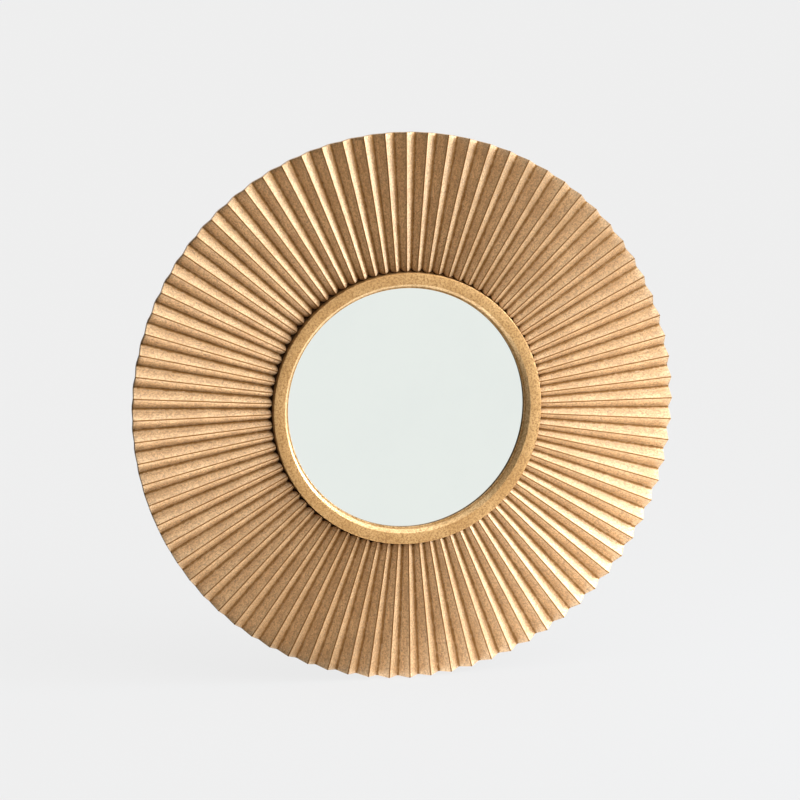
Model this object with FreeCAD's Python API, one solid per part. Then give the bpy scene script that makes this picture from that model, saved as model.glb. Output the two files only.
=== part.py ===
"""Round wall mirror with a pleated sunburst frame, an assembly of separate pieces.

Units are millimetres. +Z is up and the glass faces -Y. The origin lies on the mirror's axis,
in the plane of the wall, so a depth called "out" is a distance from the wall towards the room.
"""
import FreeCAD, Part

import math
import os

from FreeCAD import Vector

# Pleated fan
RIM_RADIUS = 250.0
PLEAT_COUNT = 80
PLEAT_HEIGHT_AT_RIM = 9.8      # ridge to valley, along the axis; it shrinks evenly towards the axis
FAN_WALL = 5.0                 # thickness along the axis
NOSE_GAP = 0.6                 # between the ring and the tips of the noses, the pleats' inner ends
NOSE_SCALLOP = 2.6             # a nose is round in plan, and its sides draw back by this at the valleys
NOSE_CHAMFER = 1.6             # on a nose's front edge
HUB_SHELF = 4.0                # width of the hub outside the tips of the noses

# Mirror glass and the tape that holds it
GLASS_RADIUS = 112.0
GLASS_THICKNESS = 3.0
GLASS_EDGE_GAP = 0.8           # between the glass edge and the hub's bore
TAPE_THICKNESS = 2.0
TAPE_SIDE = 24.0
TAPE_COUNT = 6
TAPE_INSET = 34.0              # from the glass edge to the middle of a tape square

# Bezel ring
LIP_OVERLAP = 2.6              # the ring covers this much of the glass edge
LIP_GAP = 0.3                  # between the glass and the ring's lip
SPIGOT_GAP = 0.3               # between the ring's spigot and the hub's bore
LEDGE_WIDTH = 1.4              # small flat step between the inner wall and the bevel
BEVEL_WIDTH = 2.8
BEVEL_DEPTH = 3.9
FACE_WIDTH = 10.4              # flat front face, from the bevel to the outer edge
RING_HEIGHT = 9.5              # front face above the seat on the fan's hub
RING_ARRIS = 0.8               # rounded outer edge of the front face

# Back board
BOARD_OVERHANG = 13.4          # the board reaches this far outside the hub
BOARD_THICKNESS = 9.0
BOARD_EDGE_CHAMFER = 1.0
BOARD_GAP = 0.7                # between the board and the underside of the valleys above its edge

# Screws through the board and the hub into the ring
FRAME_SCREW_COUNT = 8
FRAME_SCREW_INSET = 5.5        # inside the ring's outer edge
FRAME_SCREW_RADIUS = 2.0
FRAME_SCREW_BITE = 6.0         # length in the ring
FRAME_SCREW_POINT = 2.0        # length of the pointed tip
FRAME_HEAD_RADIUS = 4.0
FRAME_HEAD_DEPTH = 2.2         # countersunk, flush with the board
THROUGH_GAP = 0.2              # radial, round a shank that passes freely
PILOT_GAP = 0.05               # radial, round a shank that holds
PILOT_EXTRA = 1.0              # a pilot hole is this much deeper than its screw

# Loop hangers on the back
HANGER_HALF_SPACING = 55.0     # from the middle of the mirror to each hanger
HANGER_PIVOT_HEIGHT = 70.0     # above the middle of the mirror
STRAP_WIDTH = 12.0
STRAP_LENGTH = 30.0            # below the pivot, to the start of the rounded end
STRAP_THICKNESS = 1.6          # two layers of strip pressed together
STRAP_METAL = 0.8              # one layer, round the barrel
PIVOT_STANDOFF = 3.0           # pivot axis to the board
LOOP_WIRE_RADIUS = 1.2
LOOP_RUNNING_GAP = 0.06        # radial, between the wire and the barrel
LOOP_HALF_WIDTH = 10.0         # middle of the wire
LOOP_CORNER_RADIUS = 3.0
LOOP_SIDE_LENGTH = 5.0
LOOP_LEAN = 4.0                # degrees that a raised loop leans back on the board
HANGER_SCREW_DROPS = (9.0, 24.5)   # below the pivot
HANGER_SCREW_RADIUS = 1.5
HANGER_SCREW_BITE = 7.5        # length in the board
HANGER_HEAD_RADIUS = 3.0
HANGER_HEAD_HEIGHT = 2.0
HANGER_HEAD_CROWN = 0.6        # height of the sloping part of the head

# Bumper pads that rest on the wall
PAD_COUNT = 4
PAD_RADIUS = 8.0
PAD_THICKNESS = 6.0
PAD_INSET = 20.0               # from the board's edge to the middle of a pad
PAD_EDGE = 0.8                 # rounded edge

# Room left round a cut, so that no tool face lies in a face of the piece
CUT_ROOM = 5.0

# The stack of pieces from the wall outwards
BOARD_BACK = PAD_THICKNESS
BOARD_FRONT = BOARD_BACK + BOARD_THICKNESS
GLASS_BACK = BOARD_FRONT + TAPE_THICKNESS
GLASS_FRONT = GLASS_BACK + GLASS_THICKNESS

# The pieces round the glass, from the inside outwards
SIGHT_RADIUS = GLASS_RADIUS - LIP_OVERLAP
LEDGE_RADIUS = SIGHT_RADIUS + LEDGE_WIDTH
BEVEL_RADIUS = LEDGE_RADIUS + BEVEL_WIDTH
RING_RADIUS = BEVEL_RADIUS + FACE_WIDTH
HUB_BORE = GLASS_RADIUS + GLASS_EDGE_GAP
SPIGOT_RADIUS = HUB_BORE - SPIGOT_GAP
NOSE_TIP = RING_RADIUS + NOSE_GAP
HUB_CREST = RING_RADIUS + NOSE_GAP / 2
HUB_RADIUS = NOSE_TIP + HUB_SHELF
BOARD_RADIUS = HUB_RADIUS + BOARD_OVERHANG
FRAME_SCREW_CIRCLE = RING_RADIUS - FRAME_SCREW_INSET
TAPE_CIRCLE = GLASS_RADIUS - TAPE_INSET
PAD_CIRCLE = BOARD_RADIUS - PAD_INSET

# The pleats rise and fall by the same slope about a flat middle plane
PLEAT_SLOPE = PLEAT_HEIGHT_AT_RIM / 2 / RIM_RADIUS
PLEAT_PITCH = 360.0 / PLEAT_COUNT
HALF_PITCH = math.radians(PLEAT_PITCH / 2)
FAN_MIDDLE = BOARD_FRONT + BOARD_GAP + FAN_WALL + PLEAT_SLOPE * BOARD_RADIUS

# The ring stands on the hub, and its spigot reaches into the hub's bore above the glass
HUB_FRONT = FAN_MIDDLE - PLEAT_SLOPE * NOSE_TIP
RING_FRONT = HUB_FRONT + RING_HEIGHT
LIP_BACK = GLASS_FRONT + LIP_GAP

AXIS = Vector(0, 1, 0)
OUTWARDS = Vector(0, -1, 0)


def spot(radius, angle, out):
    """A point at a radius and an angle (radians, from +X towards +Z) round the mirror's axis."""
    return Vector(radius * math.cos(angle), -out, radius * math.sin(angle))


def profile_point(radius, out):
    """A point of a half section, drawn in the plane through the axis and +X."""
    return spot(radius, 0.0, out)


def line(start, end):
    return Part.LineSegment(start, end).toShape()


def quarter_arc(start, end, centre):
    """A quarter circle between two points, bulging away from its centre."""
    radius = start.distanceToPoint(centre)
    bulge = start + end - centre * 2
    middle = centre + bulge.normalize() * radius
    return Part.Arc(start, middle, end).toShape()


def outline(points):
    return [line(start, end) for start, end in zip(points, points[1:] + points[:1])]


def turned(edges):
    """A solid of revolution about the mirror's axis, from the edges of a closed half section."""
    return Part.Face(Part.Wire(edges)).revolve(Vector(0, 0, 0), AXIS, 360)


def turned_section(pairs):
    return turned(outline([profile_point(radius, out) for radius, out in pairs]))


def peg(x, z, out, radius, length):
    """A cylinder that starts at a depth and runs outwards, square to the wall."""
    return Part.makeCylinder(radius, length, Vector(x, -out, z), OUTWARDS)


def circle_places(count, radius, first_angle):
    """The x and z of places spaced evenly round the mirror's axis; the first angle is in degrees."""
    places = []
    for index in range(count):
        angle = math.radians(first_angle + index * 360.0 / count)
        places.append((radius * math.cos(angle), radius * math.sin(angle)))
    return places


def frame_screw_places():
    return circle_places(FRAME_SCREW_COUNT, FRAME_SCREW_CIRCLE, 180.0 / FRAME_SCREW_COUNT)


def hanger_screw_places(side):
    x = side * HANGER_HALF_SPACING
    return [(x, HANGER_PIVOT_HEIGHT - drop) for drop in HANGER_SCREW_DROPS]


# Pleated fan

def pleat_section(angle, reach):
    """The six corners of one pleat's section, square to its ridge at a reach from the axis.

    They run valley, ridge, valley along the front, and back again along the rear.
    """
    valley_radius = reach / math.cos(HALF_PITCH)
    ridge = FAN_MIDDLE + PLEAT_SLOPE * reach
    valley = FAN_MIDDLE - PLEAT_SLOPE * valley_radius
    front = [
        (valley_radius, angle - HALF_PITCH, valley),
        (reach, angle, ridge),
        (valley_radius, angle + HALF_PITCH, valley),
    ]
    rear = [(radius, turn, out - FAN_WALL) for radius, turn, out in reversed(front)]
    return [spot(*corner) for corner in front + rear]


def pleat_faces(angle, inner_reach, outer_reach):
    """The faces of one pleat, without the two sides that it shares with its neighbours."""
    inner = pleat_section(angle, inner_reach)
    outer = pleat_section(angle, outer_reach)
    loops = [inner, outer]
    for first in (0, 1, 3, 4):
        loops.append([inner[first], inner[first + 1], outer[first + 1], outer[first]])
    return [Part.Face(Part.makePolygon(loop + loop[:1])) for loop in loops]


def pleated_sheet():
    """The endless zigzag sheet, a little longer at both ends than the fan."""
    faces = []
    for index in range(PLEAT_COUNT):
        angle = math.radians(index * PLEAT_PITCH)
        faces += pleat_faces(angle, NOSE_TIP - CUT_ROOM, RIM_RADIUS + CUT_ROOM)
    sheet = Part.makeCompound(faces)
    sheet.sewShape()
    return Part.Solid(sheet.Shells[0])


def fan_depth():
    """Depths that lie clear behind and clear in front of the whole sheet."""
    reach = PLEAT_HEIGHT_AT_RIM + FAN_WALL + CUT_ROOM
    return FAN_MIDDLE - reach, FAN_MIDDLE + reach


def fan_envelope():
    """The turned space that trims the sheet: a round rim, and a chamfer on the noses' front edge."""
    low, high = fan_depth()
    chamfer_end = HUB_CREST + NOSE_CHAMFER
    chamfer_top = FAN_MIDDLE + PLEAT_SLOPE * chamfer_end
    return turned_section([
        (HUB_CREST, low),
        (HUB_CREST, chamfer_top - NOSE_CHAMFER),
        (chamfer_end + CUT_ROOM, chamfer_top + CUT_ROOM),
        (chamfer_end + CUT_ROOM, high),
        (RIM_RADIUS, high),
        (RIM_RADIUS, low),
    ])


def scalloped_bore():
    """The hole in the sheet: each nose is an arc in plan, and the arcs meet at the valleys."""
    low, high = fan_depth()
    arcs = []
    for index in range(PLEAT_COUNT):
        angle = math.radians(index * PLEAT_PITCH)
        start = spot(NOSE_TIP + NOSE_SCALLOP, angle - HALF_PITCH, low)
        end = spot(NOSE_TIP + NOSE_SCALLOP, angle + HALF_PITCH, low)
        arcs.append(Part.Arc(start, spot(NOSE_TIP, angle, low), end).toShape())
    return Part.Face(Part.Wire(arcs)).extrude(OUTWARDS * (high - low))


def fan_hub():
    """The flat hub behind the ring, merging into the walls of the pleats outside the noses."""
    shelf_front = FAN_MIDDLE - PLEAT_SLOPE * HUB_RADIUS - FAN_WALL / 2
    return turned_section([
        (HUB_BORE, BOARD_FRONT),
        (HUB_RADIUS, BOARD_FRONT),
        (HUB_RADIUS, shelf_front),
        (HUB_CREST, HUB_FRONT),
        (HUB_BORE, HUB_FRONT),
    ])


def pleated_fan():
    pleats = pleated_sheet().common(fan_envelope()).cut(scalloped_bore())
    fan = pleats.fuse(fan_hub()).removeSplitter()
    hole_radius = FRAME_SCREW_RADIUS + THROUGH_GAP
    depth = HUB_FRONT - BOARD_FRONT + 2 * CUT_ROOM
    for x, z in frame_screw_places():
        fan = fan.cut(peg(x, z, BOARD_FRONT - CUT_ROOM, hole_radius, depth))
    return fan


# Bezel ring

def bezel_ring():
    arris_inner = profile_point(RING_RADIUS - RING_ARRIS, RING_FRONT)
    arris_outer = profile_point(RING_RADIUS, RING_FRONT - RING_ARRIS)
    corners = [
        arris_inner,
        profile_point(BEVEL_RADIUS, RING_FRONT),
        profile_point(LEDGE_RADIUS, RING_FRONT - BEVEL_DEPTH),
        profile_point(SIGHT_RADIUS, RING_FRONT - BEVEL_DEPTH),
        profile_point(SIGHT_RADIUS, LIP_BACK),
        profile_point(SPIGOT_RADIUS, LIP_BACK),
        profile_point(SPIGOT_RADIUS, HUB_FRONT),
        profile_point(RING_RADIUS, HUB_FRONT),
        arris_outer,
    ]
    edges = [line(start, end) for start, end in zip(corners, corners[1:])]
    arris_centre = profile_point(RING_RADIUS - RING_ARRIS, RING_FRONT - RING_ARRIS)
    edges.append(quarter_arc(arris_outer, arris_inner, arris_centre))
    ring = turned(edges)
    depth = FRAME_SCREW_BITE + PILOT_EXTRA
    for x, z in frame_screw_places():
        ring = ring.cut(peg(x, z, HUB_FRONT, FRAME_SCREW_RADIUS + PILOT_GAP, depth))
    return ring


# Mirror glass and tape

def mirror_glass():
    return peg(0, 0, GLASS_BACK, GLASS_RADIUS, GLASS_THICKNESS)


def glass_tape():
    """Foam tape squares between the glass and the board, each one square to its radius."""
    square = Part.makeBox(TAPE_SIDE, TAPE_THICKNESS, TAPE_SIDE,
                          Vector(TAPE_CIRCLE - TAPE_SIDE / 2, -GLASS_BACK, -TAPE_SIDE / 2))
    squares = []
    for index in range(TAPE_COUNT):
        copy = square.copy()
        copy.rotate(Vector(0, 0, 0), AXIS, index * 360.0 / TAPE_COUNT)
        squares.append(copy)
    return Part.makeCompound(squares)


# Back board

def back_board():
    board = turned_section([
        (0, BOARD_BACK),
        (BOARD_RADIUS - BOARD_EDGE_CHAMFER, BOARD_BACK),
        (BOARD_RADIUS, BOARD_BACK + BOARD_EDGE_CHAMFER),
        (BOARD_RADIUS, BOARD_FRONT),
        (0, BOARD_FRONT),
    ])
    shank_hole = FRAME_SCREW_RADIUS + THROUGH_GAP
    for x, z in frame_screw_places():
        board = board.cut(peg(x, z, BOARD_BACK - CUT_ROOM, shank_hole, BOARD_THICKNESS + 2 * CUT_ROOM))
        sink = Part.makeCone(FRAME_HEAD_RADIUS + PILOT_GAP, shank_hole, FRAME_HEAD_DEPTH,
                             Vector(x, -BOARD_BACK, z), OUTWARDS)
        board = board.cut(sink)
    for x, z in hanger_screw_places(-1) + hanger_screw_places(1):
        board = board.cut(peg(x, z, BOARD_BACK, HANGER_SCREW_RADIUS + PILOT_GAP,
                              HANGER_SCREW_BITE + PILOT_GAP))
    return board


def frame_screw(x, z):
    """A countersunk screw, its head flush with the back of the board."""
    tip = HUB_FRONT + FRAME_SCREW_BITE
    start = BOARD_BACK + FRAME_HEAD_DEPTH
    head = Part.makeCone(FRAME_HEAD_RADIUS, FRAME_SCREW_RADIUS, FRAME_HEAD_DEPTH,
                         Vector(x, -BOARD_BACK, z), OUTWARDS)
    shank = peg(x, z, start, FRAME_SCREW_RADIUS, tip - FRAME_SCREW_POINT - start)
    point = Part.makeCone(FRAME_SCREW_RADIUS, 0, FRAME_SCREW_POINT,
                          Vector(x, -(tip - FRAME_SCREW_POINT), z), OUTWARDS)
    return head.fuse([shank, point]).removeSplitter()


def frame_screws():
    return Part.makeCompound([frame_screw(x, z) for x, z in frame_screw_places()])


# Loop hangers; "off" is a distance from the back of the board towards the wall

def hanger_spot(side, across, up, off):
    """A point beside a hanger's pivot: across to the right, up, and off the board."""
    return Vector(side * HANGER_HALF_SPACING + across, off - BOARD_BACK, HANGER_PIVOT_HEIGHT + up)


def hanger_strap(side):
    """A strip folded round the loop's straight side: a plate with a barrel along its top."""
    half = STRAP_WIDTH / 2
    end_centre = hanger_spot(side, 0, -STRAP_LENGTH, 0)
    right_top = hanger_spot(side, half, 0, 0)
    right_end = hanger_spot(side, half, -STRAP_LENGTH, 0)
    left_end = hanger_spot(side, -half, -STRAP_LENGTH, 0)
    left_top = hanger_spot(side, -half, 0, 0)
    edges = [
        line(left_top, right_top),
        line(right_top, right_end),
        Part.Arc(right_end, end_centre + Vector(0, 0, -half), left_end).toShape(),
        line(left_end, left_top),
    ]
    plate = Part.Face(Part.Wire(edges)).extrude(AXIS * STRAP_THICKNESS)
    bore = LOOP_WIRE_RADIUS + LOOP_RUNNING_GAP
    pivot = hanger_spot(side, -half, 0, PIVOT_STANDOFF)
    sideways = Vector(1, 0, 0)
    barrel = Part.makeCylinder(bore + STRAP_METAL, STRAP_WIDTH, pivot, sideways)
    neck_drop = bore + STRAP_METAL
    neck = Part.makeBox(STRAP_WIDTH, PIVOT_STANDOFF, neck_drop, hanger_spot(side, -half, -neck_drop, 0))
    eye = Part.makeCylinder(bore, STRAP_WIDTH + 2 * CUT_ROOM, pivot - sideways * CUT_ROOM, sideways)
    strap = plate.fuse([barrel, neck]).removeSplitter().cut(eye)
    for x, z in hanger_screw_places(side):
        strap = strap.cut(peg(x, z, BOARD_BACK - STRAP_THICKNESS - CUT_ROOM,
                              HANGER_SCREW_RADIUS + THROUGH_GAP, STRAP_THICKNESS + 2 * CUT_ROOM))
    return strap


def hanger_loop(side):
    """A round wire bent to a D; its straight side turns in the strap's barrel."""
    corner = LOOP_CORNER_RADIUS
    straight = LOOP_HALF_WIDTH - corner
    bow_base = corner + LOOP_SIDE_LENGTH

    def place(across, up):
        return hanger_spot(side, across, up, PIVOT_STANDOFF)

    corner_right = quarter_arc(place(straight, 0), place(LOOP_HALF_WIDTH, corner), place(straight, corner))
    corner_left = quarter_arc(place(-LOOP_HALF_WIDTH, corner), place(-straight, 0), place(-straight, corner))
    bow_right = quarter_arc(place(LOOP_HALF_WIDTH, bow_base), place(0, bow_base + LOOP_HALF_WIDTH),
                            place(0, bow_base))
    bow_left = quarter_arc(place(0, bow_base + LOOP_HALF_WIDTH), place(-LOOP_HALF_WIDTH, bow_base),
                           place(0, bow_base))
    path = Part.Wire([
        line(place(0, 0), place(straight, 0)),
        corner_right,
        line(place(LOOP_HALF_WIDTH, corner), place(LOOP_HALF_WIDTH, bow_base)),
        bow_right,
        bow_left,
        line(place(-LOOP_HALF_WIDTH, bow_base), place(-LOOP_HALF_WIDTH, corner)),
        corner_left,
        line(place(-straight, 0), place(0, 0)),
    ])
    section = Part.Wire(Part.makeCircle(LOOP_WIRE_RADIUS, place(0, 0), Vector(1, 0, 0)))
    loop = path.makePipeShell([section], True, False)
    loop.rotate(place(0, 0), Vector(1, 0, 0), LOOP_LEAN)
    return loop


def hanger_screw(x, z):
    """A round-headed screw through the strap into the board."""
    seat = BOARD_BACK - STRAP_THICKNESS
    rim = seat - HANGER_HEAD_HEIGHT + HANGER_HEAD_CROWN
    head = peg(x, z, rim, HANGER_HEAD_RADIUS, seat - rim)
    crown = Part.makeCone(HANGER_HEAD_RADIUS - HANGER_HEAD_CROWN, HANGER_HEAD_RADIUS, HANGER_HEAD_CROWN,
                          Vector(x, HANGER_HEAD_CROWN - rim, z), OUTWARDS)
    shank = peg(x, z, seat, HANGER_SCREW_RADIUS, STRAP_THICKNESS + HANGER_SCREW_BITE)
    return head.fuse([crown, shank]).removeSplitter()


def hanger_screws():
    places = hanger_screw_places(-1) + hanger_screw_places(1)
    return Part.makeCompound([hanger_screw(x, z) for x, z in places])


# Bumper pads

def wall_pads():
    pads = []
    for x, z in circle_places(PAD_COUNT, PAD_CIRCLE, 0.0):
        pad = peg(x, z, 0, PAD_RADIUS, PAD_THICKNESS)
        wall_edge = [edge for edge in pad.Edges if abs(edge.CenterOfMass.y) < PAD_EDGE]
        pads.append(pad.makeFillet(PAD_EDGE, wall_edge))
    return Part.makeCompound(pads)


PIECES = {
    "pleated_fan": pleated_fan(),
    "bezel_ring": bezel_ring(),
    "mirror_glass": mirror_glass(),
    "glass_tape": glass_tape(),
    "back_board": back_board(),
    "frame_screws": frame_screws(),
    "left_hanger_strap": hanger_strap(-1),
    "right_hanger_strap": hanger_strap(1),
    "left_hanger_loop": hanger_loop(-1),
    "right_hanger_loop": hanger_loop(1),
    "hanger_screws": hanger_screws(),
    "wall_pads": wall_pads(),
}

os.makedirs("parts", exist_ok=True)
for name, shape in PIECES.items():
    shape.exportStep(os.path.join("parts", name + ".step"))
    print(name, len(shape.Solids), "solids", round(shape.Volume), "mm3", shape.isValid())
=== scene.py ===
import math
import random

import bpy
import bmesh
from mathutils import Matrix, Vector


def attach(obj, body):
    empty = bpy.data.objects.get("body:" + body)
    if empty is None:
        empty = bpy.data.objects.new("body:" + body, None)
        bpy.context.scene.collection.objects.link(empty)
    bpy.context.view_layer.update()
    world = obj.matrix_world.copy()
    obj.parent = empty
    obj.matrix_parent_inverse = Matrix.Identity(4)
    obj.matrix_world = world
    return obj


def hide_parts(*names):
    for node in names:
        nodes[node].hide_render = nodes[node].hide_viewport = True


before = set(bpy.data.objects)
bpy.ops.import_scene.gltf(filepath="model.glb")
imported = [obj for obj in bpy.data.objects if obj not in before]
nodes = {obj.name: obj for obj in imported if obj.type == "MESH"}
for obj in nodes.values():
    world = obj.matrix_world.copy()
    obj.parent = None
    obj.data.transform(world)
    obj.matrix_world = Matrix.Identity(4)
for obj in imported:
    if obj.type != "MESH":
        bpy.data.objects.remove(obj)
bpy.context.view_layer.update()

MM = 0.001
SEED = 7
rng = random.Random(SEED)

# Sizes shared with the solids, in millimetres; "out" is a distance from the wall towards the room
RIM_RADIUS = 250.0
PLEAT_COUNT = 80
PLEAT_HEIGHT = 9.8
PLEAT_SLOPE = PLEAT_HEIGHT / 2 / RIM_RADIUS
HALF_PITCH = math.pi / PLEAT_COUNT
FAN_WALL = 5.0
BOARD_BACK = 6.0
BOARD_FRONT = 15.0
BOARD_RADIUS = 142.0
BOARD_GAP = 0.7
FAN_MIDDLE = BOARD_FRONT + BOARD_GAP + FAN_WALL + PLEAT_SLOPE * BOARD_RADIUS
NOSE_TIP = 124.6
NOSE_SCALLOP = 2.6
HUB_BORE = 112.8
HUB_CREST = 124.3
HUB_RADIUS = 128.6
HUB_FRONT = FAN_MIDDLE - PLEAT_SLOPE * NOSE_TIP
RING_RADIUS = 124.0
RING_HEIGHT = 9.5
RING_FRONT = HUB_FRONT + RING_HEIGHT
BEVEL_RADIUS = 113.6
BEVEL_DEPTH = 3.9
SPIGOT_RADIUS = 112.5
SIGHT_RADIUS = 109.4
GLASS_FRONT = 20.0
LIP_GAP = 0.3
LIP_BACK = GLASS_FRONT + LIP_GAP
FRAME_SCREW_COUNT = 8
FRAME_SCREW_CIRCLE = 118.5
HANGER_SCREW_ASIDE = 55.0
HANGER_SCREW_HEIGHTS = (61.0, 45.5)
STRAP_THICKNESS = 1.6
STRAP_BACK = BOARD_BACK - STRAP_THICKNESS

# Finer forms of the fan that only the looks have, in millimetres
RIDGE_ROUND = 0.4
NOSE_ROUND = 1.1
RIM_ROUND = 0.7
RIM_SCALLOP = 0.7
RIM_TRIM = 0.3
RIDGE_LIFT = 0.05
RIDGE_SWAY = 0.06
WAVE_TERMS = 3
WAVE_COUNTS = (0.5, 3.5)
RIDGE_SAMPLES = (0.0, 0.1, 0.2, 0.28)
NOSE_STATIONS = (0.0, 0.08, 0.25, 0.55, NOSE_ROUND)
RIM_STATIONS = (RIM_ROUND, 0.3, 0.0)

# The valleys' rounding and samples grow with the radius, so these are shares of it
VALLEY_ROUND_SHARE = 0.0092
VALLEY_SAMPLES = (0.0065, 0.0043, 0.0021, 0.0)

# How finely the fan and the ring are divided
FLANK_SAMPLES = 4
FLANK_STATIONS = 24
BACK_STATIONS = 8
HUB_SEGMENTS = 240
RING_SEGMENTS = 360
ARC_STEPS = 4

# Finer forms of the ring that only the looks have, in millimetres
STEP_RADIUS = 111.5
STEP_LEAN = 0.5
STEP_HEIGHT = 2.0
FOOT_ROUND = 0.3
FACE_ROUND = 0.8
BEVEL_TOP_ROUND = 0.35
BEVEL_FOOT_ROUND = 0.3
STEP_ROUND = 0.2
SIGHT_ROUND = 0.35
LIP_ROUND = 0.2
SPIGOT_ROUND = 0.1


def spot(radius, angle, out):
    """A point in metres, at a radius and angle round the mirror's axis and a distance from the wall."""
    return (radius * math.cos(angle) * MM, -out * MM, radius * math.sin(angle) * MM)


def new_object(name, vertices, faces, smooth=True):
    mesh = bpy.data.meshes.new(name)
    mesh.from_pydata([tuple(v) for v in vertices], [], [tuple(f) for f in faces])
    mesh.update()
    if smooth:
        mesh.polygons.foreach_set("use_smooth", [True] * len(mesh.polygons))
    obj = bpy.data.objects.new(name, mesh)
    bpy.context.scene.collection.objects.link(obj)
    return obj


def face_outwards(obj):
    """Turns every face of a closed mesh to the outside."""
    work = bmesh.new()
    work.from_mesh(obj.data)
    bmesh.ops.recalc_face_normals(work, faces=work.faces)
    work.to_mesh(obj.data)
    work.free()


def closed_grid(columns, rows):
    """Faces of a grid that closes on itself both ways, with its vertices counted column by column."""
    faces = []
    for column in range(columns):
        here = column * rows
        there = (column + 1) % columns * rows
        for row in range(rows):
            after = (row + 1) % rows
            faces.append((here + row, here + after, there + after, there + row))
    return faces


def turned_grid(profile, segments):
    """Vertices and faces of a closed half section turned about the mirror's axis."""
    vertices = []
    for index in range(segments):
        angle = 2 * math.pi * index / segments
        vertices += [spot(radius, angle, out) for radius, out in profile]
    return vertices, closed_grid(segments, len(profile))


# Pleated fan

# What its material reads at each point: the distances in millimetres from ridge, valley, rim and nose,
# the way round the rim, and 1 on the back. The hub counts as a valley behind the noses, so it is painted in
# shade.
FAN_MARKS = ("ridge_mm", "valley_mm", "rim_mm", "nose_mm", "turn_mm", "back_side")
HUB_MARKS = (50.0, 0.0, 50.0, -1.0, 0.0, 0.0)


def arc_drop(aside, rounding):
    """How far a rounded edge lies from the sharp edge of two flanks that slope by 45 degrees."""
    return math.sqrt(2) * rounding - math.sqrt(rounding ** 2 - aside ** 2)


def fold_height(offset, radius):
    """Height over the middle plane at a sideways offset from a ridge, with ridge and valley rounded."""
    half_width = radius * HALF_PITCH
    rise = radius * PLEAT_SLOPE
    valley_round = radius * VALLEY_ROUND_SHARE
    inward = half_width - offset
    if offset < RIDGE_ROUND * math.sqrt(0.5):
        return rise - arc_drop(offset, RIDGE_ROUND)
    if inward < valley_round * math.sqrt(0.5):
        return arc_drop(inward, valley_round) - rise
    return rise * (1 - 2 * offset / half_width)


def half_pleat_offsets(radius):
    """Sideways offsets of the samples from a ridge to the next valley."""
    near = list(RIDGE_SAMPLES)
    far = [radius * (HALF_PITCH - inward) for inward in VALLEY_SAMPLES]
    step = (far[0] - near[-1]) / (FLANK_SAMPLES + 1)
    flank = [near[-1] + step * (index + 1) for index in range(FLANK_SAMPLES)]
    return near + flank + far


HALF_PLEAT_SAMPLES = len(half_pleat_offsets(RIM_RADIUS))


def nose_radius(offset):
    """Radius at which a nose ends, at a sideways offset from its ridge: an arc in plan."""
    half_width = NOSE_TIP * HALF_PITCH
    bow = (half_width ** 2 + NOSE_SCALLOP ** 2) / (2 * NOSE_SCALLOP)
    reach = min(abs(offset), half_width)
    return NOSE_TIP + bow - math.sqrt(bow ** 2 - reach ** 2)


def edge_drop(distance, rounding):
    """How far a rounded edge lies below its face, at a distance from the end of that face."""
    gone = max(rounding - distance, 0.0)
    return rounding - math.sqrt(max(rounding ** 2 - gone ** 2, 0.0))


def waviness(largest):
    """A gentle random curve as a few sine terms: amplitude, wave count and phase of each."""
    terms = []
    for index in range(WAVE_TERMS):
        terms.append((rng.uniform(0.0, largest), rng.uniform(*WAVE_COUNTS), rng.uniform(0, 2 * math.pi)))
    return terms


def wave(terms, place):
    return sum(size * math.sin(2 * math.pi * often * place + phase) for size, often, phase in terms)


def pleat_columns():
    """Each column of the fan as the number of its ridge, the side of that ridge and its sample."""
    columns = []
    for pleat in range(PLEAT_COUNT):
        columns += [(pleat, 1, sample) for sample in range(HALF_PLEAT_SAMPLES)]
        columns += [(pleat + 1, -1, sample) for sample in range(HALF_PLEAT_SAMPLES - 2, 0, -1)]
    return columns


def front_radii(inner, outer):
    """Radii of the points along the front of a column, closer together at the nose and the rim."""
    near = [inner + distance for distance in NOSE_STATIONS]
    far = [outer - distance for distance in RIM_STATIONS]
    flank = [near[-1] + (far[0] - near[-1]) * step / FLANK_STATIONS for step in range(1, FLANK_STATIONS)]
    return near + flank + far


def fan_column(number, side, sample, lift, sway, trim):
    """Points of a column with their marks: along the front to the rim, then along the back."""
    ridge = 2 * HALF_PITCH * number
    crest = 1 - sample / (HALF_PLEAT_SAMPLES - 1)
    inner = nose_radius(half_pleat_offsets(NOSE_TIP)[sample])
    outer = RIM_RADIUS + trim * crest - RIM_SCALLOP * (1 - crest)
    points = []
    for radius in front_radii(inner, outer):
        offset = half_pleat_offsets(radius)[sample]
        place = radius / RIM_RADIUS
        height = fold_height(offset, radius) + wave(lift, place) * crest
        height -= edge_drop(radius - inner, NOSE_ROUND) + edge_drop(outer - radius, RIM_ROUND)
        angle = ridge + side * offset / radius + wave(sway, place) * crest / radius
        marks = (offset, radius * HALF_PITCH - offset, outer - radius, radius - inner,
                 ridge * RIM_RADIUS + side * offset, 0.0)
        points.append((spot(radius, angle, FAN_MIDDLE + height), marks))
    for step in range(BACK_STATIONS + 1):
        radius = outer + (inner - outer) * step / BACK_STATIONS
        offset = half_pleat_offsets(radius)[sample]
        height = fold_height(offset, radius) - FAN_WALL
        angle = ridge + side * offset / radius
        marks = (radius * HALF_PITCH - offset, offset, outer - radius, radius - inner,
                 ridge * RIM_RADIUS + side * offset, min(step, 1))
        points.append((spot(radius, angle, FAN_MIDDLE + height), marks))
    return points


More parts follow.
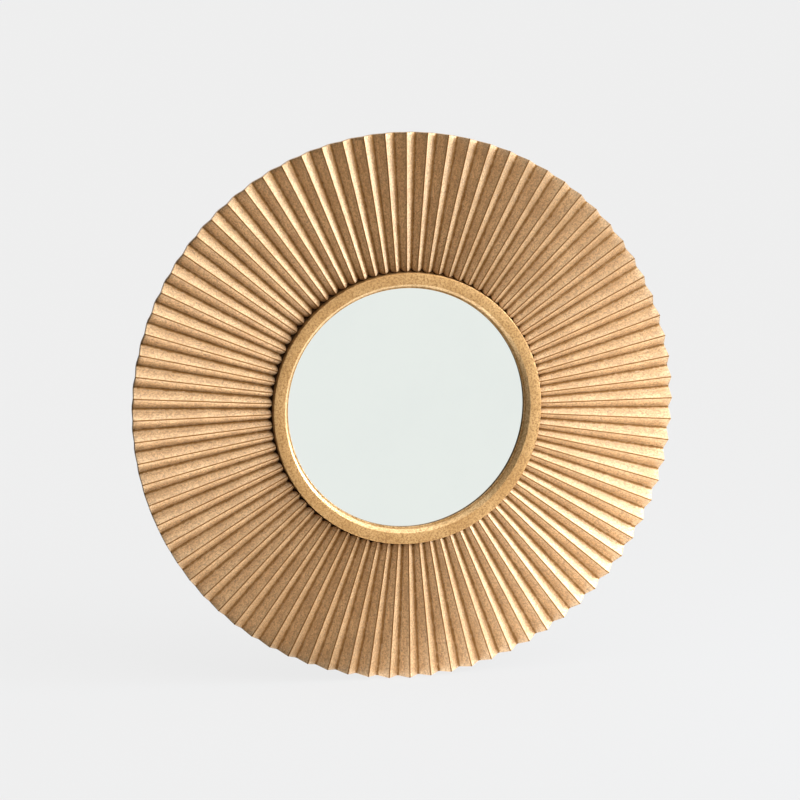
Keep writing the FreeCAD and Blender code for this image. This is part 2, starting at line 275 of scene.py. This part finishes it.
def build_fan():
    """The pleats as one closed grid of columns, and the hub that carries their inner ends."""
    lift = [waviness(RIDGE_LIFT) for pleat in range(PLEAT_COUNT)]
    sway = [waviness(RIDGE_SWAY) for pleat in range(PLEAT_COUNT)]
    trim = [rng.uniform(-RIM_TRIM, 0.0) for pleat in range(PLEAT_COUNT)]
    columns = pleat_columns()
    points = []
    for number, side, sample in columns:
        owner = number % PLEAT_COUNT
        points += fan_column(number, side, sample, lift[owner], sway[owner], trim[owner])
    faces = closed_grid(len(columns), len(points) // len(columns))
    hub = [
        (HUB_BORE, BOARD_FRONT),
        (HUB_RADIUS, BOARD_FRONT),
        (HUB_RADIUS, FAN_MIDDLE - PLEAT_SLOPE * HUB_RADIUS - FAN_WALL / 2),
        (HUB_CREST, HUB_FRONT),
        (HUB_BORE, HUB_FRONT),
    ]
    first = len(points)
    hub_vertices, hub_faces = turned_grid(hub, HUB_SEGMENTS)
    points += [(vertex, HUB_MARKS) for vertex in hub_vertices]
    faces += [tuple(first + corner for corner in face) for face in hub_faces]
    vertices, marks = zip(*points)
    obj = new_object("fan_pleats", vertices, faces)
    for name, values in zip(FAN_MARKS, zip(*marks)):
        layer = obj.data.attributes.new(name, "FLOAT", "POINT")
        layer.data.foreach_set("value", values)
    face_outwards(obj)
    return obj


# Bezel ring

def rounded_corner(before, corner, after, radius):
    """Points of an arc that replaces a corner of a section."""
    c = Vector(corner)
    to_before = (Vector(before) - c).normalized()
    to_after = (Vector(after) - c).normalized()
    half = to_before.angle(to_after) / 2
    reach = radius / math.tan(half)
    centre = c + (to_before + to_after).normalized() * radius / math.sin(half)
    start = c + to_before * reach - centre
    end = c + to_after * reach - centre
    points = []
    for step in range(ARC_STEPS + 1):
        direction = start.lerp(end, step / ARC_STEPS).normalized()
        points.append(tuple(centre + direction * radius))
    return points


def rounded_section(corners):
    """A section from corners given as radius, out and rounding."""
    points = []
    count = len(corners)
    for index, (radius, out, rounding) in enumerate(corners):
        before = corners[index - 1][:2]
        after = corners[(index + 1) % count][:2]
        points += rounded_corner(before, (radius, out), after, rounding)
    return points


def build_ring():
    corners = [
        (RING_RADIUS, HUB_FRONT, FOOT_ROUND),
        (RING_RADIUS, RING_FRONT, FACE_ROUND),
        (BEVEL_RADIUS, RING_FRONT, BEVEL_TOP_ROUND),
        (STEP_RADIUS, RING_FRONT - BEVEL_DEPTH, BEVEL_FOOT_ROUND),
        (STEP_RADIUS - STEP_LEAN, LIP_BACK + STEP_HEIGHT, STEP_ROUND),
        (SIGHT_RADIUS, LIP_BACK + STEP_HEIGHT, SIGHT_ROUND),
        (SIGHT_RADIUS, LIP_BACK, LIP_ROUND),
        (SPIGOT_RADIUS, LIP_BACK, SPIGOT_ROUND),
        (SPIGOT_RADIUS, HUB_FRONT, SPIGOT_ROUND),
    ]
    vertices, faces = turned_grid(rounded_section(corners), RING_SEGMENTS)
    obj = new_object("ring_moulding", vertices, faces)
    face_outwards(obj)
    return obj


# Screws: radii, and heights over the face that they sit in, in millimetres
FRAME_SCREW = {
    "head_radius": 3.95, "edge_height": 0.0, "crown_rise": 0.0,
    "neck_radius": 2.0, "neck_height": -1.9, "shank_radius": 1.95,
}
HANGER_SCREW = {
    "head_radius": 3.0, "edge_height": 1.3, "crown_rise": 0.7,
    "neck_radius": 2.95, "neck_height": 0.0, "shank_radius": 1.45,
}
HEAD_EDGE = 0.12
SHANK_START = -2.2
SHANK_END = -5.0
SHARP_ANGLE = math.radians(35)

# Shares of the head's radius
CROSS_REACH = 0.62
CROSS_HALF_WIDTH = 0.13
CROSS_DEPTH = 0.4
CROWN_RADIUS = 0.96
LAST_RADIUS = 0.97

# Shares of the cross recess, of its depth, of the crown and of the way from the recess to the edge
FLOOR_SIZE = 0.55
WALL_SIZE = 0.9
WALL_DEPTH = 0.55
LAST_RISE = 0.02
CROWN_RINGS = (0.4, 0.8)
RECESS_STEPS = 3


def cross_outline(reach, half_width, turn):
    """Points round a cross recess: the corners of its four arms, and some between them."""
    corners = []
    for quarter in range(4):
        angle = turn + quarter * math.pi / 2
        cosine, sine = math.cos(angle), math.sin(angle)
        for x, y in ((reach, -half_width), (reach, half_width), (half_width, half_width)):
            corners.append((x * cosine - y * sine, x * sine + y * cosine))
    points = []
    for (x, y), (next_x, next_y) in zip(corners, corners[1:] + corners[:1]):
        for step in range(RECESS_STEPS):
            share = step / RECESS_STEPS
            points.append((x + (next_x - x) * share, y + (next_y - y) * share))
    return points


def level_ring(outline, size, height):
    """An outline made larger or smaller, at one height."""
    return [(x * size, y * size, height) for x, y in outline]


def screw_rings(head_radius, edge_height, crown_rise, neck_radius, neck_height, shank_radius, turn):
    """Rings of one screw from the recess floor over the head to the shank's end, as x, y and height."""
    outline = cross_outline(head_radius * CROSS_REACH, head_radius * CROSS_HALF_WIDTH, turn)
    circle = [(x / math.hypot(x, y), y / math.hypot(x, y)) for x, y in outline]
    depth = head_radius * CROSS_DEPTH

    def top(x, y):
        return edge_height + crown_rise * (1 - (math.hypot(x, y) / head_radius) ** 2)

    rings = [level_ring(outline, FLOOR_SIZE, edge_height - depth)]
    rings.append(level_ring(outline, WALL_SIZE, edge_height + crown_rise - depth * WALL_DEPTH))
    rings.append([(x, y, top(x, y)) for x, y in outline])
    for share in CROWN_RINGS:
        points = []
        for (x, y), (unit_x, unit_y) in zip(outline, circle):
            ring_x = x + (unit_x * head_radius * CROWN_RADIUS - x) * share
            ring_y = y + (unit_y * head_radius * CROWN_RADIUS - y) * share
            points.append((ring_x, ring_y, top(ring_x, ring_y)))
        rings.append(points)
    rings.append(level_ring(circle, head_radius * LAST_RADIUS, edge_height + crown_rise * LAST_RISE))
    rings.append(level_ring(circle, head_radius, edge_height - HEAD_EDGE))
    rings.append(level_ring(circle, neck_radius, neck_height))
    rings.append(level_ring(circle, shank_radius, SHANK_START))
    rings.append(level_ring(circle, shank_radius, SHANK_END))
    return rings


def build_screws(name, places, seat, sizes):
    """A set of equal screws with heads to the wall; places are x and z, seat is the face they sit in."""
    vertices = []
    faces = []
    for screw_x, screw_z in places:
        rings = screw_rings(turn=rng.uniform(0, math.pi / 2), **sizes)
        first = len(vertices)
        count = len(rings[0])
        for points in rings:
            for x, z, height in points:
                vertices.append(((screw_x + x) * MM, -(seat - height) * MM, (screw_z + z) * MM))
        for row in range(len(rings) - 1):
            here = first + row * count
            there = here + count
            for index in range(count):
                after = (index + 1) % count
                faces.append((here + index, here + after, there + after, there + index))
        last = first + (len(rings) - 1) * count
        for end in (first, last):
            faces.append(tuple(end + index for index in range(count)))
    obj = new_object(name, vertices, faces)
    face_outwards(obj)
    obj.data.set_sharp_from_angle(angle=SHARP_ANGLE)
    return obj


def build_frame_screws():
    places = []
    for index in range(FRAME_SCREW_COUNT):
        angle = 2 * math.pi * (index + 0.5) / FRAME_SCREW_COUNT
        places.append((FRAME_SCREW_CIRCLE * math.cos(angle), FRAME_SCREW_CIRCLE * math.sin(angle)))
    return build_screws("frame_screw_heads", places, BOARD_BACK, FRAME_SCREW)


def build_hanger_screws():
    places = []
    for aside in (-HANGER_SCREW_ASIDE, HANGER_SCREW_ASIDE):
        places += [(aside, height) for height in HANGER_SCREW_HEIGHTS]
    return build_screws("hanger_screw_heads", places, STRAP_BACK, HANGER_SCREW)


fan = build_fan()
ring = build_ring()
frame_screws = build_frame_screws()
hanger_screws = build_hanger_screws()


# Short ways to write node materials; a band is the stretch of values over which something changes

FULL = (0.0, 1.0)

# Sockets of the node that mixes two colours
MIX_FIRST = 6
MIX_SECOND = 7
MIX_RESULT = 2


def material(name):
    """A new node material, with its tree and its shader."""
    mat = bpy.data.materials.new(name)
    mat.use_nodes = True
    tree = mat.node_tree
    shader = tree.nodes["Principled BSDF"]
    return mat, tree, shader


def add(tree, kind, **settings):
    node = tree.nodes.new(kind)
    for key, value in settings.items():
        setattr(node, key, value)
    return node


def object_place(tree):
    return add(tree, "ShaderNodeTexCoord").outputs["Object"]


def noise(tree, vector, scale, detail=4.0, roughness=0.6):
    node = add(tree, "ShaderNodeTexNoise")
    node.inputs["Scale"].default_value = scale
    node.inputs["Detail"].default_value = detail
    node.inputs["Roughness"].default_value = roughness
    tree.links.new(vector, node.inputs["Vector"])
    return node.outputs["Fac"]


def remap(tree, value, band, result=FULL):
    """A smooth step from the first result to the second over a band of values."""
    node = add(tree, "ShaderNodeMapRange", interpolation_type="SMOOTHSTEP")
    node.inputs["From Min"].default_value = band[0]
    node.inputs["From Max"].default_value = band[1]
    node.inputs["To Min"].default_value = result[0]
    node.inputs["To Max"].default_value = result[1]
    tree.links.new(value, node.inputs["Value"])
    return node.outputs["Result"]


def maths(tree, operation, first, second):
    node = add(tree, "ShaderNodeMath", operation=operation)
    for socket, value in zip(node.inputs, (first, second)):
        if isinstance(value, (int, float)):
            socket.default_value = value
        else:
            tree.links.new(value, socket)
    return node.outputs["Value"]


def largest(tree, first, *others):
    for other in others:
        first = maths(tree, "MAXIMUM", first, other)
    return first


def swing(tree, value, size):
    """Noise turned into a length that swings to both sides of zero."""
    return maths(tree, "MULTIPLY", maths(tree, "SUBTRACT", value, 0.5), size)


def blend_colours(tree, share, first, second, way="MIX"):
    node = add(tree, "ShaderNodeMix", data_type="RGBA", blend_type=way)
    tree.links.new(share, node.inputs["Factor"])
    for socket, value in ((node.inputs[MIX_FIRST], first), (node.inputs[MIX_SECOND], second)):
        if isinstance(value, tuple):
            socket.default_value = (*value, 1.0)
        else:
            tree.links.new(value, socket)
    return node.outputs[MIX_RESULT]


def attribute(tree, name):
    return add(tree, "ShaderNodeAttribute", attribute_name=name).outputs["Fac"]


def add_relief(tree, shader, height, strength, depth):
    """A fine relief, with its depth in millimetres. Returns the normal that it gives the shader."""
    bump = add(tree, "ShaderNodeBump")
    bump.inputs["Strength"].default_value = strength
    bump.inputs["Distance"].default_value = depth * MM
    tree.links.new(height, bump.inputs["Height"])
    tree.links.new(bump.outputs["Normal"], shader.inputs["Normal"])
    return bump.outputs["Normal"]


# Gold leaf on fan and ring; scales are per metre
GOLD_DEEP = (0.42, 0.240, 0.086)
GOLD = (0.60, 0.366, 0.148)
GOLD_LIGHT = (0.73, 0.490, 0.240)
# Patina colour, also used for painted shade in the valleys
PATINA_AND_SHADE = (0.175, 0.081, 0.025)
# Painted shade: the dark colour of the hollows between the noses and of the ring's step by the glass
PAINTED_SHADE = (0.06, 0.028, 0.010)
CLOUD_SCALE = 38.0
CLOUD_BAND = (0.35, 0.65)
GRAIN_SCALE = 520.0
GRAIN_DEEP_BAND = (0.47, 0.59)
GRAIN_LIGHT_BAND = (0.50, 0.36)
GRAIN_LIGHT_SHARE = 0.8
SPECK_SCALE = 760.0
SPECK_BAND = (0.55, 0.66)
FAN_SPECKS = 0.9
RING_SPECKS = 0.4
LEAF_RELIEF = 0.6
LEAF_RELIEF_STRENGTH = 0.35
LEAF_ROUGHNESS = (0.5, 0.62)
ROUGHNESS_BAND = (0.3, 0.7)
COAT_ROUGHNESS = 0.45
COAT_IOR = 2.0


def leaf(name, speck_share):
    """Rubbed gold leaf: mottled colour, grain, brown specks and pits. Returns what to build on."""
    mat, tree, shader = material(name)
    place = object_place(tree)
    cloud = noise(tree, place, CLOUD_SCALE)
    grain = noise(tree, place, GRAIN_SCALE, roughness=0.75)
    speck = noise(tree, place, SPECK_SCALE, detail=3.0, roughness=0.7)
    colour = blend_colours(tree, remap(tree, cloud, CLOUD_BAND), GOLD, GOLD_LIGHT)
    colour = blend_colours(tree, remap(tree, grain, GRAIN_DEEP_BAND), colour, GOLD_DEEP)
    light = remap(tree, grain, GRAIN_LIGHT_BAND, (0.0, GRAIN_LIGHT_SHARE))
    colour = blend_colours(tree, light, colour, GOLD_LIGHT)
    specks = remap(tree, speck, SPECK_BAND, (0.0, speck_share))
    colour = blend_colours(tree, specks, colour, PATINA_AND_SHADE)
    pits = maths(tree, "SUBTRACT", grain, specks)
    normal = add_relief(tree, shader, pits, LEAF_RELIEF_STRENGTH, LEAF_RELIEF)
    tree.links.new(normal, shader.inputs["Coat Normal"])
    shader.inputs["Coat Roughness"].default_value = COAT_ROUGHNESS
    shader.inputs["Coat IOR"].default_value = COAT_IOR
    tree.links.new(remap(tree, grain, ROUGHNESS_BAND, LEAF_ROUGHNESS), shader.inputs["Roughness"])
    return mat, tree, shader, colour, grain


# Wear, patina and painted shade of the fan; the bands and swings of distances are in millimetres
STREAK_SCALE = 0.9
STREAK_STRETCH = 0.05
STREAK_NOISE_BAND = (0.48, 0.68)
STREAK_SHARE = 0.7
RAGGED_SWING = 3.0
PATCH_SCALE = 260.0
PATCH_SWING = 1.8
VALLEY_PATINA_AND_SHADE_BAND = (0.2, 1.9)
VALLEY_PATINA_AND_SHADE_SHARE = 0.95
LINE_BAND = (0.35, 0.8)
LINE_SHARE = 0.95
LINE_RAGGED = 0.15
WORN_BAND = (0.1, 0.9)
WORN_SHARE = 0.2
WORN_RAGGED = 0.5
POCKET_SHADE_BAND = (-0.8, 0.7)
BARE_RESIN = (0.09, 0.050, 0.028)
DUSTY_RESIN = (0.16, 0.100, 0.060)
RESIN_NOISE_BAND = (0.35, 0.65)
BACK_BAND = (0.2, 0.4)
BACK_RAGGED = 0.1
DULL_BAND = (0.0, 0.7)


def frayed(tree, name, ragged, share):
    """One of the fan's marks, with a share of a ragged length added."""
    return maths(tree, "ADD", attribute(tree, name), maths(tree, "MULTIPLY", ragged, share))


def streaks(tree):
    """Noise drawn out along the pleats."""
    along = add(tree, "ShaderNodeCombineXYZ")
    tree.links.new(attribute(tree, "turn_mm"), along.inputs["X"])
    tree.links.new(maths(tree, "MULTIPLY", attribute(tree, "rim_mm"), STREAK_STRETCH), along.inputs["Y"])
    return noise(tree, along.outputs["Vector"], STREAK_SCALE, detail=3.0)


def fan_dirt_and_shade(tree, ragged):
    """Share of patina and painted shade: brown in the valleys, a dark line along each ridge and a worn
    trace along the rim.
    """
    patches = swing(tree, noise(tree, object_place(tree), PATCH_SCALE, detail=3.0), PATCH_SWING)
    depth = maths(tree, "ADD", attribute(tree, "valley_mm"), maths(tree, "ADD", ragged, patches))
    # Valley brown: patina in the hollows, widened with painted shade where each pleat shades the next
    brown = remap(tree, depth, VALLEY_PATINA_AND_SHADE_BAND, (VALLEY_PATINA_AND_SHADE_SHARE, 0.0))
    # A dark line along each ridge, on both sides of it
    line = remap(tree, frayed(tree, "ridge_mm", ragged, LINE_RAGGED), LINE_BAND, (LINE_SHARE, 0.0))
    worn = remap(tree, frayed(tree, "rim_mm", ragged, WORN_RAGGED), WORN_BAND, (WORN_SHARE, 0.0))
    return largest(tree, brown, line, worn)


def fan_gold():
    """Leaf on the pleats, streaked and worn, with patina and painted shade in the valleys, painted shade
    between the noses and on the hub, and bare resin on the back.
    """
    mat, tree, shader, colour, grain = leaf("fan_gold", FAN_SPECKS)
    streaked = remap(tree, streaks(tree), STREAK_NOISE_BAND, (0.0, STREAK_SHARE))
    colour = blend_colours(tree, streaked, colour, GOLD_DEEP)
    ragged = swing(tree, grain, RAGGED_SWING)
    dirt_and_shade = fan_dirt_and_shade(tree, ragged)
    # Patina and painted shade in the valleys, the ridge lines and the worn rim
    colour = blend_colours(tree, dirt_and_shade, colour, PATINA_AND_SHADE)
    # Painted shade between the noses and on the hub behind them
    pocket_shade = remap(tree, attribute(tree, "nose_mm"), POCKET_SHADE_BAND, (1.0, 0.0))
    colour = blend_colours(tree, pocket_shade, colour, PAINTED_SHADE)
    resin = blend_colours(tree, remap(tree, grain, RESIN_NOISE_BAND), BARE_RESIN, DUSTY_RESIN)
    back = remap(tree, frayed(tree, "back_side", ragged, BACK_RAGGED), BACK_BAND)
    colour = blend_colours(tree, back, colour, resin)
    tree.links.new(colour, shader.inputs["Base Color"])
    tree.links.new(remap(tree, back, FULL, (1.0, 0.0)), shader.inputs["Metallic"])
    dull = largest(tree, dirt_and_shade, pocket_shade, back)
    tree.links.new(remap(tree, dull, DULL_BAND, (1.0, 0.0)), shader.inputs["Coat Weight"])
    return mat


# Tone, wear and painted shade of the ring; lengths in millimetres
RING_TINT = (0.66, 0.59, 0.46)
FACE_EDGE_SPAN = (-0.4, 0.6)
RECESS_SHADE_RISE = 1.5
BEVEL_AND_FACE_GLOSS = (0.35, 0.3)


def ring_gold():
    """The same leaf on the ring: deeper on the flat face, lighter on the bevel, with painted shade by the
    glass.
    """
    mat, tree, shader, colour, _ = leaf("ring_gold", RING_SPECKS)
    place = object_place(tree)
    flat = add(tree, "ShaderNodeVectorMath", operation="MULTIPLY")
    tree.links.new(place, flat.inputs[0])
    flat.inputs[1].default_value = (1.0, 0.0, 1.0)
    radius = add(tree, "ShaderNodeVectorMath", operation="LENGTH")
    tree.links.new(flat.outputs["Vector"], radius.inputs[0])
    face_band = [(BEVEL_RADIUS + shift) * MM for shift in FACE_EDGE_SPAN]
    face = remap(tree, radius.outputs["Value"], face_band)
    colour = blend_colours(tree, face, colour, RING_TINT, way="MULTIPLY")
    axes = add(tree, "ShaderNodeSeparateXYZ")
    tree.links.new(place, axes.inputs["Vector"])
    # Painted shade on the step down to the glass, darkest by the glass, where it also takes away the gloss
    glass_recess_shade_band = (-(LIP_BACK + STEP_HEIGHT + RECESS_SHADE_RISE) * MM, -LIP_BACK * MM)
    glass_recess_shade = remap(tree, axes.outputs["Y"], glass_recess_shade_band)
    colour = blend_colours(tree, glass_recess_shade, colour, PAINTED_SHADE)
    tree.links.new(colour, shader.inputs["Base Color"])
    shader.inputs["Metallic"].default_value = 1.0
    gloss = maths(tree, "SUBTRACT", remap(tree, face, FULL, BEVEL_AND_FACE_GLOSS), glass_recess_shade)
    tree.links.new(remap(tree, gloss, FULL), shader.inputs["Coat Weight"])
    return mat


# Mirror glass
SILVER = (0.93, 0.98, 0.94)
HAZY_SILVER = (0.915, 0.965, 0.93)
HAZE_SCALE = 14.0
HAZE_COLOUR_BAND = (0.35, 0.75)
HAZE_BAND = (0.4, 0.7)
SILVER_ROUGHNESS = (0.008, 0.03)


def mirror_silver():
    """Silvered glass with a faint haze of wiping marks."""
    mat, tree, shader = material("mirror_silver")
    haze = noise(tree, object_place(tree), HAZE_SCALE, detail=5.0, roughness=0.65)
    tree.links.new(remap(tree, haze, HAZE_BAND, SILVER_ROUGHNESS), shader.inputs["Roughness"])
    colour = blend_colours(tree, remap(tree, haze, HAZE_COLOUR_BAND), SILVER, HAZY_SILVER)
    tree.links.new(colour, shader.inputs["Base Color"])
    shader.inputs["Metallic"].default_value = 1.0
    return mat


# The plain materials behind; their grain is finer than their patches by a fixed factor
GRAIN_FINENESS = 12
PATCH_SHARE = 0.6
GRAIN_SHARE = 0.4
TEXTURE_BAND = (0.38, 0.62)
TEXTURE_RELIEF_STRENGTH = 0.4


def textured(name, low, high, scale, roughness, relief, metallic=0.0):
    """A material that wanders between two colours, with matching roughness and a fine relief."""
    mat, tree, shader = material(name)
    place = object_place(tree)
    patches = noise(tree, place, scale, detail=5.0, roughness=0.65)
    grain = noise(tree, place, scale * GRAIN_FINENESS, detail=3.0, roughness=0.7)
    coarse = maths(tree, "MULTIPLY", patches, PATCH_SHARE)
    fine = maths(tree, "MULTIPLY", grain, GRAIN_SHARE)
    mixed = maths(tree, "ADD", coarse, fine)
    colour = blend_colours(tree, remap(tree, mixed, TEXTURE_BAND), low, high)
    tree.links.new(colour, shader.inputs["Base Color"])
    tree.links.new(remap(tree, grain, ROUGHNESS_BAND, roughness), shader.inputs["Roughness"])
    shader.inputs["Metallic"].default_value = metallic
    add_relief(tree, shader, grain, TEXTURE_RELIEF_STRENGTH, relief)
    return mat


def zinc_steel():
    return textured("zinc_steel", low=(0.50, 0.49, 0.46), high=(0.68, 0.67, 0.62), scale=140.0,
                    roughness=(0.28, 0.45), relief=0.05, metallic=1.0)


def painted_board():
    return textured("painted_board", low=(0.060, 0.046, 0.035), high=(0.120, 0.095, 0.072), scale=60.0,
                    roughness=(0.55, 0.8), relief=0.2)


def pad_rubber():
    return textured("pad_rubber", low=(0.030, 0.030, 0.030), high=(0.065, 0.063, 0.060), scale=160.0,
                    roughness=(0.5, 0.75), relief=0.1)


def foam_tape():
    return textured("foam_tape", low=(0.72, 0.71, 0.66), high=(0.82, 0.81, 0.77), scale=300.0,
                    roughness=(0.75, 0.9), relief=0.15)


def paint(obj, mat):
    obj.data.materials.clear()
    obj.data.materials.append(mat)


paint(fan, fan_gold())
paint(ring, ring_gold())
paint(nodes["mirror_glass"], mirror_silver())
steel = zinc_steel()
for name in ("left_hanger_strap", "right_hanger_strap", "left_hanger_loop", "right_hanger_loop"):
    paint(nodes[name], steel)
for piece in (frame_screws, hanger_screws):
    paint(piece, steel)
paint(nodes["back_board"], painted_board())
paint(nodes["wall_pads"], pad_rubber())
paint(nodes["glass_tape"], foam_tape())

REPLACED = (
    (fan, "pleated_fan", "aged_gold"),
    (ring, "bezel_ring", "aged_gold"),
    (frame_screws, "frame_screws", "zinc_steel"),
    (hanger_screws, "hanger_screws", "zinc_steel"),
)
for piece, node, slot in REPLACED:
    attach(piece, "mirror")
    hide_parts(node)


# Camera at the photograph's viewing angle
VIEW_AZIMUTH = math.radians(12.66)
VIEW_ELEVATION = math.radians(9.13)
VIEW_ROLL = math.radians(0.42)
VIEW_DISTANCE = 10.138 * RIM_RADIUS
AIM_RIGHT = 0.0260 * RIM_RADIUS
AIM_UP = -0.0309 * RIM_RADIUS
LENS = 126.0
SENSOR = 36.0


def add_camera():
    data = bpy.data.cameras.new("camera")
    data.lens = LENS
    data.sensor_width = SENSOR
    camera = bpy.data.objects.new("camera", data)
    bpy.context.scene.collection.objects.link(camera)
    sin_azimuth, cos_azimuth = math.sin(VIEW_AZIMUTH), math.cos(VIEW_AZIMUTH)
    sin_elevation, cos_elevation = math.sin(VIEW_ELEVATION), math.cos(VIEW_ELEVATION)
    back = Vector((-cos_elevation * sin_azimuth, -cos_elevation * cos_azimuth, sin_elevation))
    right = Vector((cos_azimuth, -sin_azimuth, 0.0))
    up = Vector((sin_elevation * sin_azimuth, sin_elevation * cos_azimuth, cos_elevation))
    place = Vector((0.0, -FAN_MIDDLE, 0.0)) + back * VIEW_DISTANCE - right * AIM_RIGHT - up * AIM_UP
    rolled_right = right * math.cos(VIEW_ROLL) - up * math.sin(VIEW_ROLL)
    rolled_up = up * math.cos(VIEW_ROLL) + right * math.sin(VIEW_ROLL)
    turn = Matrix((rolled_right, rolled_up, back)).transposed().to_4x4()
    camera.matrix_world = Matrix.Translation(place * MM) @ turn
    bpy.context.scene.camera = camera


add_camera()

# Studio in metres: a pale floor, a soft world and lamps
BACKGROUND = 0.86
FLOOR_HALF = 60.0
FLOOR_LEVEL = -RIM_RADIUS * MM
FLOOR_ROUGHNESS = 0.9
# Painted shade: the floor's colour on its left, for all rays but the camera's
FLOOR_DARK = 0.04
FLOOR_ALBEDO = 0.3
FLOOR_GLOW_SHARE = 0.85
CAMERA_GLOW = 1.08
PALE_BAND = (-0.36, -0.06)
PALE_EDGE_TURN = 0.14


def add_floor():
    """A floor that looks evenly pale to the camera, with a soft shadow; for other rays its left is painted
    dark, as painted shade.
    """
    corners = [(-1, -1), (1, -1), (1, 1), (-1, 1)]
    places = [(x * FLOOR_HALF, y * FLOOR_HALF, FLOOR_LEVEL) for x, y in corners]
    floor = new_object("floor", places, [(0, 1, 2, 3)], smooth=False)
    mat, tree, shader = material("floor_paper")
    shader.inputs["Roughness"].default_value = FLOOR_ROUGHNESS
    shader.inputs["Specular IOR Level"].default_value = 0.0
    path = add(tree, "ShaderNodeLightPath")
    camera_ray = path.outputs["Is Camera Ray"]
    across = add(tree, "ShaderNodeVectorMath", operation="DOT_PRODUCT")
    tree.links.new(object_place(tree), across.inputs[0])
    across.inputs[1].default_value = (1.0, PALE_EDGE_TURN, 0.0)
    pale = remap(tree, across.outputs["Value"], PALE_BAND)
    level = remap(tree, largest(tree, camera_ray, pale), FULL, (FLOOR_DARK, FLOOR_ALBEDO))
    tree.links.new(level, shader.inputs["Base Color"])
    glow = add(tree, "ShaderNodeEmission")
    glow.inputs["Color"].default_value = (BACKGROUND, BACKGROUND, BACKGROUND, 1.0)
    tree.links.new(remap(tree, camera_ray, FULL, (1.0, CAMERA_GLOW)), glow.inputs["Strength"])
    mirrored = largest(tree, path.outputs["Is Glossy Ray"], path.outputs["Is Transmission Ray"])
    mirrored = maths(tree, "MULTIPLY", mirrored, pale)
    seen = maths(tree, "MULTIPLY", camera_ray, FLOOR_GLOW_SHARE)
    mix = add(tree, "ShaderNodeMixShader")
    tree.links.new(largest(tree, seen, mirrored), mix.inputs["Fac"])
    tree.links.new(shader.outputs["BSDF"], mix.inputs[1])
    tree.links.new(glow.outputs["Emission"], mix.inputs[2])
    tree.links.new(mix.outputs["Shader"], tree.nodes["Material Output"].inputs["Surface"])
    paint(floor, mat)


# Soft patches of light in the world; a way is given as right, out of the wall and up
LOBE_SHARPNESS = 7.0
SKY = (
    {"way": (0.97, 0.26, 0.0), "strength": 7.8},
    {"way": (0.0, 0.26, 0.97), "strength": 2.8},
    {"way": (0.5, 0.75, 0.43), "strength": 3.4},
    {"way": (0.0, -0.85, 0.5), "strength": 1.2},
)


def sky_lobe(tree, way, strength):
    """A soft patch of light in one direction."""
    right, out, up = way
    coords = add(tree, "ShaderNodeTexCoord").outputs["Generated"]
    dot = add(tree, "ShaderNodeVectorMath", operation="DOT_PRODUCT")
    tree.links.new(coords, dot.inputs[0])
    dot.inputs[1].default_value = Vector((right, -out, up)).normalized()
    fall = maths(tree, "MULTIPLY", maths(tree, "SUBTRACT", dot.outputs["Value"], 1.0), LOBE_SHARPNESS)
    return maths(tree, "MULTIPLY", maths(tree, "EXPONENT", fall, 0.0), strength)


def add_world():
    """The sky's light, which the camera sees as an even pale background."""
    world = bpy.data.worlds.new("studio")
    bpy.context.scene.world = world
    world.use_nodes = True
    tree = world.node_tree
    back = tree.nodes["Background"]
    back.inputs["Color"].default_value = (1.0, 1.0, 1.0, 1.0)
    level = sky_lobe(tree, **SKY[0])
    for lobe in SKY[1:]:
        level = maths(tree, "ADD", level, sky_lobe(tree, **lobe))
    path = add(tree, "ShaderNodeLightPath")
    choose = add(tree, "ShaderNodeMix", data_type="FLOAT")
    tree.links.new(path.outputs["Is Camera Ray"], choose.inputs["Factor"])
    tree.links.new(level, choose.inputs["A"])
    choose.inputs["B"].default_value = BACKGROUND
    tree.links.new(choose.outputs["Result"], back.inputs["Strength"])


# Lamps in metres, watts and degrees; near and far are distances from the wall
KEY = {"place": (0.95, -0.45, 0.28), "size": 0.35, "power": 8.8, "colour": (0.82, 1.0, 1.25)}
BOUNCES = {
    "bounce_left": {"left": -0.3, "right": -0.03, "near": 0.05, "far": 0.34, "power": 0.55, "spread": 105},
    "bounce_middle": {"left": -0.05, "right": 0.2, "near": 0.0, "far": 0.25, "power": 0.2, "spread": 180},
    "bounce_right": {"left": 0.2, "right": 0.6, "near": 0.03, "far": 0.35, "power": 1.28, "spread": 180},
}
BOUNCE_LIFT = 0.0005


def add_lamp(name, shape, size, power):
    """An area lamp that the camera doesn't see."""
    data = bpy.data.lights.new(name, "AREA")
    data.shape = shape
    data.size = size
    data.energy = power
    lamp = bpy.data.objects.new(name, data)
    bpy.context.scene.collection.objects.link(lamp)
    lamp.visible_camera = False
    return lamp


def add_softbox(name, place, size, power, colour):
    """A round lamp that looks at the mirror's middle."""
    lamp = add_lamp(name, "DISK", size, power)
    lamp.data.color = colour
    lamp.location = place
    lamp.rotation_mode = "QUATERNION"
    lamp.rotation_quaternion = (-Vector(place)).to_track_quat("-Z", "Y")


def add_bounce(name, left, right, near, far, power, spread):
    """A flat lamp on the floor that stands for light thrown up by it."""
    lamp = add_lamp(name, "RECTANGLE", right - left, power)
    lamp.data.size_y = far - near
    lamp.data.spread = math.radians(spread)
    lamp.location = ((left + right) / 2, -(near + far) / 2, FLOOR_LEVEL + BOUNCE_LIFT)
    lamp.rotation_euler = (math.pi, 0.0, 0.0)


add_floor()
add_world()
add_softbox("key", **KEY)
for name, sizes in BOUNCES.items():
    add_bounce(name, **sizes)

bpy.context.scene.view_settings.view_transform = "Standard"
